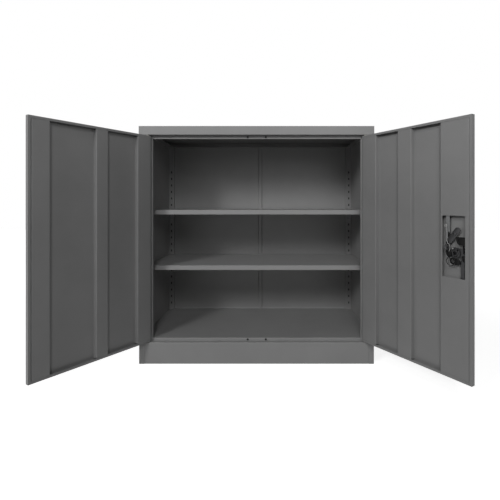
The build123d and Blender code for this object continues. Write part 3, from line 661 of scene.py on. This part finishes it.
@dataclass
class OuterHandle(DoorFitting):
    """T-shaped handle and its long plate on the outside of the right door."""

    plate_size: Point = (40.0, 110.0, 19.0)  # width, height, corner radius
    plate_thickness: float = 5.0
    plate_edge: float = 1.6
    barrel_hole: float = 9.1  # radius, round the key cylinder
    bore: float = 4.3  # radius of the hole in which the spindle turns
    collar: Outline = ((13.0, -0.2), (13.6, 0.1), (13.6, 1.0))  # radius, rise over the face
    tube: Outline = ((7.0, -1.0), (7.0, 5.5), (6.5, 6.0))  # radius, depth
    grip_length: float = 68.0
    grip_width: float = 18.0
    grip_thickness: float = 13.0
    grip_back: float = -19.3
    grip_stations: tuple[float, ...] = (0.0, 0.12, 0.3, 0.5, 0.7, 0.86, 0.94, 0.985, 1.0)
    grip_sides: int = 32
    grip_cap: float = 0.18  # share of each half that rounds off to its end
    grip_end: float = 0.02  # square of the share of the section left at the very end
    grip_waist: float = 0.10  # how much of the width the waist takes off
    grip_waist_end: float = 0.8  # share of each half at which the width is full again
    grip_full: float = 0.35  # share of the depth that thins no faster than the width
    grip_squareness: float = 2.8  # power of the section's superellipse, 2 for a plain ellipse
    neck: Outline = (
        (0.0, -5.3), (11.4, -5.3), (12.0, -5.9), (12.0, -7.4), (10.2, -9.8), (8.9, -13.0),
        (8.6, -17.0), (9.0, -20.2), (9.0, -24.0), (0.0, -24.0))  # radius, depth

    def build(self) -> None:
        """Builds the plate and the handle."""
        self.build_plate()
        self.build_grip()

    def build_plate(self) -> None:
        """Builds the moulded plate with its collar and its tube through the door."""
        middle = (self.hub[0], (self.hub[1] + self.lock[1]) / 2)
        shape = Shape("outer_handle_plate")
        holes = [circle(self.barrel_hole, self.lock), circle(self.bore, self.hub)]
        shape.plate(rounded(*self.plate_size, middle), (-self.plate_thickness, 0.0), holes,
                    self.plate_edge, steps=3)
        for profile in (raised(self.collar, -self.plate_thickness), self.tube):
            shape.lathe(bored(profile, self.bore), self.hub)
        self.fit(shape, "right_door", Slot.BLACK, ["handle_plate"])

    def build_grip(self) -> None:
        """Builds the waisted grip on its neck."""
        stations = [-station for station in reversed(self.grip_stations)]
        stations += self.grip_stations[1:]
        shape = Shape("outer_handle_grip")
        shape.loft([self.grip_ring(station) for station in stations])
        shape.lathe(self.neck, self.hub)
        self.fit(shape, "handle", Slot.BLACK, ["handle_grip"])

    def grip_ring(self, station: float) -> list[Point]:
        """Draws one section across the grip.

        Args:
            station: Place along the grip, from -1 to 1.

        Returns:
            Points of the section.
        """
        capped = max(0.0, (abs(station) - 1 + self.grip_cap) / self.grip_cap)
        round_off = math.sqrt(max(self.grip_end, 1 - capped * capped))
        waist = 1 - self.grip_waist * math.cos(math.pi / 2 * station / self.grip_waist_end) ** 2
        half_width = self.grip_width / 2 * round_off * waist
        thinned = self.grip_full + (1 - self.grip_full) * round_off
        half_depth = self.grip_thickness / 2 * thinned * round_off
        middle = self.grip_back - self.grip_thickness / 2
        power = 2 / self.grip_squareness
        ring = []
        for c, s in circle(1.0, sides=self.grip_sides):
            depth = math.copysign(abs(s) ** power, s)
            height = math.copysign(abs(c) ** power, c)
            ring.append((self.hub[0] + self.grip_length / 2 * station,
                         middle + half_depth * depth, self.hub[1] + half_width * height))
        return ring


@dataclass
class LockWork(DoorFitting):
    """What shows in the window of the lock channel: crank, cam, nuts, rivets and a clip."""

    sheet: float = 1.0  # depth of the door skin's inner face
    tube_hole: float = 7.05  # radius, round the handle's tube
    tube_washer: Span = (13.4, 0.8)  # radius, thickness
    tube_nut: Span = (22.0, 2.8)  # width over the flats, thickness
    barrel_hole: float = 9.05  # radius, round the key cylinder
    barrel_washer: Span = (12.2, 0.7)
    crank_back: float = 12.6  # depth of the crank's inner face
    face_rings: Outline = (  # turned rings on the crank: radius, rise over its face
        (6.4, 0.0), (6.8, 0.45), (8.2, 0.45), (8.6, 0.0), (12.2, 0.0), (12.5, 0.12),
        (13.3, 0.12), (13.6, 0.0), (16.2, 0.0), (16.2, -0.1))
    face_bore: float = 5.2
    screw: Outline = (  # pan head with a hollow: radius, rise over the crank's face
        (0.0, 1.0), (1.0, 1.1), (1.5, 2.0), (3.6, 1.8), (4.8, 1.1), (5.0, 0.4), (5.0, 0.02),
        (0.0, 0.02))
    pin_offset: float = 9.19  # of each crank pin from the hub, sideways and in height
    pin_head: Outline = ((0.0, 0.15), (2.3, 0.15), (2.75, 0.08), (2.9, 0.0), (0.0, 0.0))
    stop_offset: Spot = (-6.4, 13.0)  # of the stop rivet from the hub
    stop_head: Outline = ((0.0, 1.4), (1.1, 1.2), (1.9, 0.5), (2.1, 0.0), (0.0, 0.0))
    cam_face: float = 10.3  # depth of the cam's outer face
    cam_thickness: float = 2.0
    cam_width: float = 18.0
    cam_long: float = 35.5  # reach of its long end from the axis
    cam_short: float = 22.5
    cam_deg: float = 232.0  # direction of its long end, in u and height
    cam_edge: float = 0.35
    cam_washer: Span = (6.4, 0.5)
    cam_nut: Span = (10.6, 1.6)
    stud: Outline = (  # radius, rise over the cam
        (0.0, 2.4), (2.2, 2.4), (2.6, 2.1), (2.6, 1.0), (0.0, 1.0))
    # Black wedge beside the cam: a painted shadow.
    shadow_wedge: Outline = (  # u, height
        (347.6, 527.5), (350.0, 526.5), (355.8, 520.2), (350.0, 512.8), (347.6, 510.0))
    shadow_wedge_depths: Span = (9.9, 12.6)
    shadow_wedge_edge: float = 0.4
    clip_at: Spot = (399.0, 449.0)
    clip_size: Point = (11.5, 19.0, 4.5)  # width, height, corner radius
    clip_hole_at: Spot = (398.6, 446.0)
    clip_hole_size: Point = (3.6, 6.5, 1.7)
    clip_deg: float = 14.0  # lean of the clip and its hole
    clip_depths: Span = (11.0, 14.0)
    clip_edge: float = 0.6

    def build(self) -> None:
        """Builds all pieces of the lock."""
        self.build_nuts()
        self.build_crank()
        self.build_cam()
        self.build_shadow_wedge()
        self.build_clip()

    def build_nuts(self) -> None:
        """Builds the nut of the handle's tube, and the painted washer behind the key cylinder."""
        hole = [circle(self.tube_hole, self.hub)]
        seat = self.sheet + self.tube_washer[1]
        nut = Shape("handle_tube_nut")
        nut.plate(hexagon(self.tube_nut[0], self.hub), (seat, seat + self.tube_nut[1]), hole,
                  edge=0.4)
        nut.plate(circle(self.tube_washer[0], self.hub), (self.sheet, seat), hole, edge=0.15)
        self.fit(nut, "right_door", Slot.ZINC)
        washer = Shape("key_barrel_washer")
        washer.plate(circle(self.barrel_washer[0], self.lock),
                     (self.sheet, self.sheet + self.barrel_washer[1]),
                     [circle(self.barrel_hole, self.lock)], edge=0.2)
        self.fit(washer, "right_door", Slot.DOOR)

    def build_crank(self) -> None:
        """Builds the crank's turned face, its hollow pan screw, and its riveted pins and stop."""
        (u, z), back = self.hub, self.crank_back
        face = bored(raised(self.face_rings, back), self.face_bore)
        rings = Shape("crank_turned_face").lathe(face, self.hub, sides=64)
        self.fit(rings, "handle", Slot.SHADED_ZINC)
        screw = Shape("crank_pan_screw").lathe(raised(self.screw, back), self.hub, sides=40)
        self.fit(screw, "handle", Slot.BLACK_OXIDE, ["crank_screw"])
        rivets = Shape("crank_pin_rivets")
        for offset in (-self.pin_offset, self.pin_offset):
            rivets.lathe(raised(self.pin_head, back), (u + offset, z + offset), sides=24)
        self.fit(rivets, "handle", Slot.BLACK_OXIDE)
        at = (u + self.stop_offset[0], z + self.stop_offset[1])
        stop = Shape("crank_stop_rivet").lathe(raised(self.stop_head, back), at, sides=24)
        self.fit(stop, "handle", Slot.NICKEL)

    def build_cam(self) -> None:
        """Builds the stamped oblong cam, its washer, its nut and the stud's end."""
        top = self.cam_face + self.cam_thickness
        middle = ((self.cam_long - self.cam_short) / 2, 0)
        corner = self.cam_width / 2 - 0.01  # a hair under half, so that no two points meet
        outline = rounded(self.cam_long + self.cam_short, self.cam_width, corner, middle)
        cam = Shape("lock_cam_stamped").plate(
            turned(outline, self.cam_deg, self.lock), (self.cam_face, top), edge=self.cam_edge)
        self.fit(cam, "lock_cylinder", Slot.SHADED_ZINC, ["lock_cam"])
        seat = top + self.cam_washer[1]
        nut = Shape("lock_cam_hex_nut")
        nut.plate(circle(self.cam_washer[0], self.lock), (top, seat), edge=0.1)
        nut.plate(hexagon(self.cam_nut[0], self.lock), (seat, seat + self.cam_nut[1]), edge=0.3)
        nut.lathe(raised(self.stud, top), self.lock, sides=24)
        self.fit(nut, "lock_cylinder", Slot.SHADED_ZINC, ["lock_cam_nut"])

    def build_shadow_wedge(self) -> None:
        """Builds the black wedge that turns with the cam: a painted shadow beside it."""
        shadow_wedge = Shape("lock_cam_shadow_wedge").plate(self.shadow_wedge, self.shadow_wedge_depths, edge=self.shadow_wedge_edge)
        self.fit(shadow_wedge, "lock_cylinder", Slot.BLACK)

    def build_clip(self) -> None:
        """Builds the black spring clip by the free edge."""
        outline = turned(rounded(*self.clip_size), self.clip_deg, self.clip_at)
        hole = turned(rounded(*self.clip_hole_size), self.clip_deg, self.clip_hole_at)
        clip = Shape("lock_spring_clip").plate(outline, self.clip_depths, [hole], self.clip_edge)
        self.fit(clip, "right_door", Slot.BLACK)


@dataclass
class SpareKeys(DoorFitting):
    """Two keys with black heads, a tag and a disc, hung in the window on a ring and a wire."""

    head_depths: Span = (12.8, 15.2)
    head_edge: float = 0.8
    opening_share: float = 0.62  # of a head's outline, left open inside its rim
    web_share: float = 0.70  # of a head's outline, thinner than the rim, fills the opening
    web_inset: Span = (0.5, 0.9)  # how far the web lies in from the head's two faces
    right_head: Outline = (  # u, height
        (376.2, 512.4), (379.0, 513.3), (402.6, 513.3), (403.8, 512.2), (403.8, 492.0),
        (402.0, 489.6), (396.0, 488.8), (386.0, 489.3), (380.6, 492.2), (377.2, 497.0),
        (375.9, 503.0))
    right_middle: Spot = (390.0, 501.2)
    left_head: Outline = (
        (341.8, 472.4), (351.0, 473.2), (356.8, 470.4), (359.4, 465.0), (359.4, 458.0),
        (356.8, 451.6), (352.0, 449.8), (347.6, 452.0), (344.0, 458.0), (341.8, 465.0))
    left_middle: Spot = (350.4, 462.0)
    blade_depths: Span = (13.0, 15.0)
    blade_edge: float = 0.2
    right_blade: tuple[Spot, float] = ((400.4, 494.0), -89.0)  # start in the head, direction
    left_blade: tuple[Spot, float] = ((348.6, 467.0), 98.0)
    blade_tip: Outline = (  # along the blade, across it
        (0.0, -3.5), (29.0, -3.5), (30.5, -2.0), (30.5, 1.2), (29.0, 2.6))
    blade_root: Outline = ((4.0, 3.5), (0.0, 3.5))
    cut_count: int = 6
    cut_start: float = 26.5  # first cut, along the blade
    cut_pitch: float = 3.4
    cut_crest: float = 2.6  # across the blade
    cut_step: float = 1.3  # between the three levels of the cuts
    tag_eye: Spot = (365.0, 439.5)
    tag_eye_radii: Span = (4.6, 9.4)
    tag_eye_edge: float = 0.9
    tag_at: Spot = (379.5, 437.5)
    tag_size: Point = (15.0, 17.0, 3.0)  # width, height, corner radius
    disc_at: Spot = (344.8, 479.5)
    disc: Outline = (  # radius, depth
        (0.0, 15.2), (5.6, 15.2), (6.2, 15.7), (7.0, 15.9), (7.7, 15.6), (7.9, 15.0), (7.6, 14.6),
        (0.0, 14.6))
    ring_radius: float = 1.0
    ring: Sequence[Point] = (  # u, depth, height
        (354.5, 15.0, 453.5), (349.5, 15.6, 447.0), (345.2, 15.9, 439.5), (347.5, 15.9, 432.0),
        (352.5, 15.9, 427.5), (359.0, 15.9, 426.5), (367.0, 15.7, 428.0), (360.0, 15.9, 437.0),
        (356.5, 15.6, 446.0))
    hanger_radius: float = 0.7
    hanger: Sequence[Point] = (
        (339.5, 13.4, 541.0), (339.2, 13.0, 546.4), (343.0, 13.2, 550.3), (346.1, 13.8, 545.6),
        (344.2, 14.2, 540.1), (345.3, 14.4, 533.1), (346.6, 14.5, 525.3), (346.9, 14.6, 512.9),
        (347.0, 14.7, 500.4), (349.3, 14.9, 492.6), (353.6, 15.3, 488.7), (356.3, 15.5, 484.0),
        (356.3, 15.6, 475.4), (353.5, 15.6, 468.0))

    def build(self) -> None:
        """Builds keys, tag, disc and wires."""
        self.build_head("spare_key_right_head", self.right_head, self.right_middle, ["spare_keys"])
        self.build_head("spare_key_left_head", self.left_head, self.left_middle)
        self.build_blade("spare_key_right_blade", *self.right_blade)
        self.build_blade("spare_key_left_blade", *self.left_blade)
        self.build_tag()
        self.build_disc()
        self.build_wires()

    def build_head(
        self, name: str, outline: Outline, middle: Spot, replaces: Sequence[str] = ()
    ) -> None:
        """Builds one moulded key head: a thick rim round a thinner web.

        Args:
            name: Name of the head.
            outline: Its outline.
            middle: Middle of its web.
            replaces: Frame nodes that it stands for.
        """
        low, high = self.head_depths
        head = Shape(name)
        head.plate(outline, self.head_depths, [shrunk(outline, middle, self.opening_share)],
                   self.head_edge, steps=3)
        head.plate(shrunk(outline, middle, self.web_share),
                   (low + self.web_inset[0], high - self.web_inset[1]), edge=0.2)
        self.fit(head, "right_door", Slot.BLACK, replaces)

    def build_blade(self, name: str, start: Spot, degrees: float) -> None:
        """Builds one cut key blade.

        Args:
            name: Name of the blade.
            start: Its middle line's start, inside the head.
            degrees: Its direction.
        """
        outline = list(self.blade_tip)
        for cut in range(self.cut_count):
            for half in (0, 1):
                along = self.cut_start - self.cut_pitch * (cut + half / 2)
                outline.append((along, self.cut_crest - self.cut_step * ((cut + half) % 3)))
        outline += self.blade_root
        blade = Shape(name).plate(
            turned(outline, degrees, start), self.blade_depths, edge=self.blade_edge)
        self.fit(blade, "right_door", Slot.BLACK_OXIDE)

    def build_tag(self) -> None:
        """Builds the black plastic tag with its eye."""
        inner, outer = self.tag_eye_radii
        tag = Shape("spare_key_tag")
        tag.plate(circle(outer, self.tag_eye), self.head_depths, [circle(inner, self.tag_eye)],
                  self.tag_eye_edge, steps=3)
        tag.plate(rounded(*self.tag_size, self.tag_at), self.head_depths, edge=self.head_edge,
                  steps=3)
        self.fit(tag, "right_door", Slot.BLACK)

    def build_disc(self) -> None:
        """Builds the dished disc that hangs on the wire above the left key."""
        disc = Shape("spare_key_disc").lathe(self.disc, self.disc_at, sides=40)
        self.fit(disc, "right_door", Slot.SHADED_ZINC)

    def build_wires(self) -> None:
        """Builds the black ring through tag and left key, and the bright bent wire above them."""
        ring = Shape("spare_key_ring").wire(self.ring, self.ring_radius, closed=True)
        self.fit(ring, "right_door", Slot.BLACK_OXIDE)
        hanger = Shape("spare_key_hanger").wire(self.hanger, self.hanger_radius)
        self.fit(hanger, "right_door", Slot.NICKEL)


# -------- case: strip, linings, bend and buffers

@dataclass
class CaseParts:
    """Rear seam strip, painted shade sheets in the uprights, the floor's bend and the buffers."""

    finishes: Finishes
    back: float = 413.0  # inner face of the back
    floor: float = 92.5  # upper face of the floor
    top: float = 889.0  # where the strip and the linings end
    strip_half: float = 12.5
    strip_crown: Outline = (  # from the strip's edge inward, rise over the back
        (0.0, 0.0), (0.0, 0.8), (2.2, 0.9), (3.6, 1.5), (4.8, 2.8), (6.2, 3.6), (8.4, 4.0))
    upright_x: float = 435.7  # middle of a rear upright, to either side
    upright_half: float = 10.6
    lining_face: float = 404.0  # 6 mm behind the slotted face of the upright
    lining_thickness: float = 1.0
    lining_gap: float = 1.0  # between lining and floor
    upstand_face: float = 412.0  # front of the floor's rear upstand
    bend_radius: float = 5.0
    bend_half: float = 424.0  # half its length
    smooth_deg: float = 50.0  # of the strip and the bend
    buffer_x: float = 35.0  # from the middle, to either side
    buffer_levels: Span = (87.0, 869.0)
    buffer_front: float = 6.3  # depth of the dome's top
    buffer_dome: Outline = (  # radius, depth behind the dome's top
        (0.0, 0.0), (1.6, 0.12), (2.9, 0.6), (3.6, 1.3), (4.0, 2.3), (4.0, 3.7), (0.0, 3.7))

    def build(self) -> None:
        """Builds the four kinds of piece."""
        self.build_strip()
        self.build_slot_shade_sheets()
        self.build_bend()
        self.build_buffers()

    def prism(self, name: str, section: Outline, span: Span, lying: bool = False) -> Shape:
        """Draws a section of (x, y) out upright, or where it is lying one of (y, z) along x."""
        rings = [[(at, *spot) if lying else (*spot, at) for spot in section] for at in span]
        return Shape(name).loft(rings)

    def build_strip(self) -> None:
        """Builds the crowned strip over the seam of the back."""
        half = [(inset - self.strip_half, self.back - rise) for inset, rise in self.strip_crown]
        section = half + [(-x, y) for x, y in reversed(half)]
        strip = self.prism("back_seam_strip", section, (self.floor, self.top))
        strip.place(CASE_SPACE, "cabinet", Slot.CASE, self.finishes, ["back_cover_strip"],
                    self.smooth_deg)

    def build_slot_shade_sheets(self) -> None:
        """Builds a dark sheet in each rear upright: painted shade that shows through its slots."""
        front, back = self.lining_face, self.lining_face + self.lining_thickness
        for side, name in ((-1, "left"), (1, "right")):
            low = side * self.upright_x - self.upright_half
            high = side * self.upright_x + self.upright_half
            section = [(low, front), (high, front), (high, back), (low, back)]
            span = (self.floor + self.lining_gap, self.top)
            lining = self.prism(f"upright_slot_shade_{name}", section, span)
            lining.place(CASE_SPACE, "cabinet", Slot.SLOT_SHADE, self.finishes)

    def build_bend(self) -> None:
        """Builds the rounded bend between the floor and its rear upstand."""
        radius, y, z = self.bend_radius, self.upstand_face, self.floor
        turns = [math.radians(degrees) for degrees in range(0, 91, 15)]
        arc = [(y - radius + radius * math.sin(t), z + radius - radius * math.cos(t))
               for t in turns]
        span = (-self.bend_half, self.bend_half)
        bend = self.prism("floor_rear_bend", [*arc, (y, z)], span, lying=True)
        bend.place(CASE_SPACE, "cabinet", Slot.CASE, self.finishes, smooth_deg=self.smooth_deg)

    def build_buffers(self) -> None:
        """Builds the four domed rubber buffers that the doors shut against, as one piece."""
        shape = Shape("rubber_buffers")
        for x in (-self.buffer_x, self.buffer_x):
            for level in self.buffer_levels:
                shape.lathe(raised(self.buffer_dome, self.buffer_front), (x, level), sides=32)
        shape.place(CASE_SPACE, "cabinet", Slot.RUBBER, self.finishes, ["door_buffers"])


# -------- studio, in metres

@dataclass(frozen=True)
class Lamp:
    """Square soft lamp."""

    name: str
    at: Point
    side: float
    watts: float

    def build(self, aim: Point) -> None:
        """Adds the lamp, turned to a point and out of the camera's sight.

        Args:
            aim: Point that it faces.
        """
        data = bpy.data.lights.new(self.name, "AREA")
        data.shape = "SQUARE"
        data.size = self.side
        data.energy = self.watts
        lamp = bpy.data.objects.new(self.name, data)
        lamp.location = self.at
        facing = Vector(aim) - Vector(self.at)
        lamp.rotation_euler = facing.to_track_quat("-Z", "Y").to_euler()
        lamp.visible_camera = False
        bpy.context.scene.collection.objects.link(lamp)


@dataclass
class Studio:
    """White floor and surroundings, soft lamps and the camera."""

    floor_size: float = 14.0
    floor_shades: tuple[str, str] = ("DCDCDC", "E0E0E0")
    floor_mottle_mm: float = 8.0
    floor_roughness: float = 0.8
    bounce_shade: str = "666666"  # tints the light that the floor throws on the cabinet
    floor_glow: float = 0.84  # white added beside the cabinet, where its shadow falls
    shadow_reach: Span = (0.9, 2.4)  # distances at which that white starts to rise and is full
    footprint: tuple[tuple[str, Span], ...] = (  # of the cabinet, where no white is added
        ("X", (-0.449, 0.449)), ("Y", (-0.009, 0.419)))
    fill: float = 0.0  # the world gives no light of its own, only the lamps do
    lamps: tuple[Lamp, ...] = (  # the key high on the left, the others weaker
        Lamp("key_lamp", (-2.0, -2.9, 2.25), 0.8, 46.0),
        Lamp("side_lamp", (-3.2, -2.9, 1.8), 0.9, 7.0),
        Lamp("high_lamp", (0.0, -2.9, 2.5), 0.6, 20.8),
        Lamp("front_lamp", (0.0, -2.9, 1.9), 0.6, 5.1),
        Lamp("near_lamp", (0.5, -1.1, 1.1), 0.4, 1.6),
    )
    aim: Point = (0.0, 0.0, 0.5)
    lens_mm: float = 26.744
    sensor_mm: float = 36.0
    camera_at: Point = (0.06286, -1.428717, 0.614733)
    shift: Spot = (-0.0459, -0.0941)
    clip_start: float = 0.01

    def build(self) -> None:
        """Builds the floor, the world, the lamps and the camera."""
        self.build_floor()
        self.build_world()
        for lamp in self.lamps:
            lamp.build(self.aim)
        self.build_camera()
        LOG.info("studio: floor, world, %d lamps and camera", len(self.lamps))

    def build_floor(self) -> None:
        """Builds the floor as one plane under the cabinet."""
        half = self.floor_size / 2
        corners = [(-half, -half, 0), (half, -half, 0), (half, half, 0), (-half, half, 0)]
        mesh = bpy.data.meshes.new("studio_floor")
        mesh.from_pydata(corners, [], [(0, 1, 2, 3)])
        floor = bpy.data.objects.new("studio_floor", mesh)
        bpy.context.scene.collection.objects.link(floor)
        mesh.materials.append(self.floor_material())
        floor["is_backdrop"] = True

    def floor_material(self) -> Material:
        """Builds matt vinyl that the camera sees near white, with the cabinet's shadow on it.

        Returns:
            The new material.
        """
        floor = Surface("white_vinyl_floor")
        seen = self.seen_rays(floor.tree)
        mottle = floor.noise(self.floor_mottle_mm, detail=2.0)
        vinyl = floor.mix(mottle, *map(linear, self.floor_shades))
        shader = floor.shader({
            "Base Color": floor.mix(seen, linear(self.bounce_shade), vinyl),
            "Roughness": self.floor_roughness})
        distance = add_node(
            floor.tree, "ShaderNodeVectorMath", {0: floor.place}, operation="LENGTH")
        fade = floor.ramp(distance.outputs["Value"], self.shadow_reach, (self.floor_glow, 1.0),
                          interpolation_type="SMOOTHSTEP")
        glow = add_node(floor.tree, "ShaderNodeEmission", {
            "Color": WHITE, "Strength": self.outside(floor, fade)})
        none = add_node(floor.tree, "ShaderNodeEmission", {"Strength": 0.0})
        pick = add_node(floor.tree, "ShaderNodeMixShader", {
            0: seen, 1: none.outputs["Emission"], 2: glow.outputs["Emission"]})
        both = add_node(floor.tree, "ShaderNodeAddShader", {0: shader, 1: pick.outputs["Shader"]})
        return floor.close(both.outputs["Shader"])

    def outside(self, floor: Surface, value: Socket) -> Socket:
        """Adds nodes that keep a value outside the cabinet's footprint and drop it to 0 under it.

        Args:
            floor: The floor's material.
            value: Socket with the value.

        Returns:
            The socket with the new value.
        """
        tree = floor.tree
        parts = add_node(tree, "ShaderNodeSeparateXYZ", {0: floor.place})
        between = []
        for axis, (low, high) in self.footprint:
            over = add_math(tree, "GREATER_THAN", parts.outputs[axis], low)
            under = add_math(tree, "LESS_THAN", parts.outputs[axis], high)
            between.append(add_math(tree, "MULTIPLY", over, under))
        inside = add_math(tree, "MULTIPLY", *between)
        open_floor = add_math(tree, "SUBTRACT", 1.0, inside)
        return add_math(tree, "MULTIPLY", value, open_floor)

    def seen_rays(self, tree: Tree) -> Socket:
        """Adds nodes that give 1 to camera, glossy and transmission rays, and 0 to rays of light.

        Args:
            tree: Node tree that gets the nodes.

        Returns:
            The socket with the 1 or 0.
        """
        rays = add_node(tree, "ShaderNodeLightPath").outputs
        seen = add_math(tree, "MAXIMUM", rays["Is Camera Ray"], rays["Is Glossy Ray"])
        return add_math(tree, "MAXIMUM", seen, rays["Is Transmission Ray"])

    def build_world(self) -> None:
        """Builds a world that is white to camera, gloss and glass, and lights by its fill."""
        world = bpy.data.worlds.new("studio_world")
        world.use_nodes = True
        tree = world.node_tree
        tree.nodes.clear()
        seen = self.seen_rays(tree)
        shown = add_node(tree, "ShaderNodeBackground", {"Color": WHITE, "Strength": 1.0})
        fill = add_node(tree, "ShaderNodeBackground", {"Color": WHITE, "Strength": self.fill})
        mix = add_node(tree, "ShaderNodeMixShader", {
            0: seen, 1: fill.outputs["Background"], 2: shown.outputs["Background"]})
        add_node(tree, "ShaderNodeOutputWorld", {"Surface": mix.outputs["Shader"]})
        bpy.context.scene.world = world

    def build_camera(self) -> None:
        """Builds the level camera in front of the cabinet."""
        data = bpy.data.cameras.new("camera")
        data.sensor_width = self.sensor_mm
        data.lens = self.lens_mm
        data.shift_x, data.shift_y = self.shift
        data.clip_start = self.clip_start
        camera = bpy.data.objects.new("camera", data)
        camera.location = self.camera_at
        camera.rotation_euler = (math.radians(90), 0.0, 0.0)
        bpy.context.scene.collection.objects.link(camera)
        bpy.context.scene.camera = camera


def main() -> list[list[list[float]]]:
    """Builds everything around the frame.

    Returns:
        The frame's own box, its lowest and highest corner.
    """
    logging.basicConfig(level=logging.INFO, format="%(message)s")
    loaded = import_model()
    cad_box = [list(corner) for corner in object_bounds()]
    bpy.context.scene.view_settings.view_transform = "Standard"
    Studio().build()
    finishes = Finishes()
    Frame(loaded, finishes).dress_all()
    for group in (OuterHandle, LockWork, SpareKeys, CaseParts):
        group(finishes).build()
    return [cad_box]


if __name__ == "__main__":
    BOXES = main()
    BOXES.append([list(corner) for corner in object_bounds()])
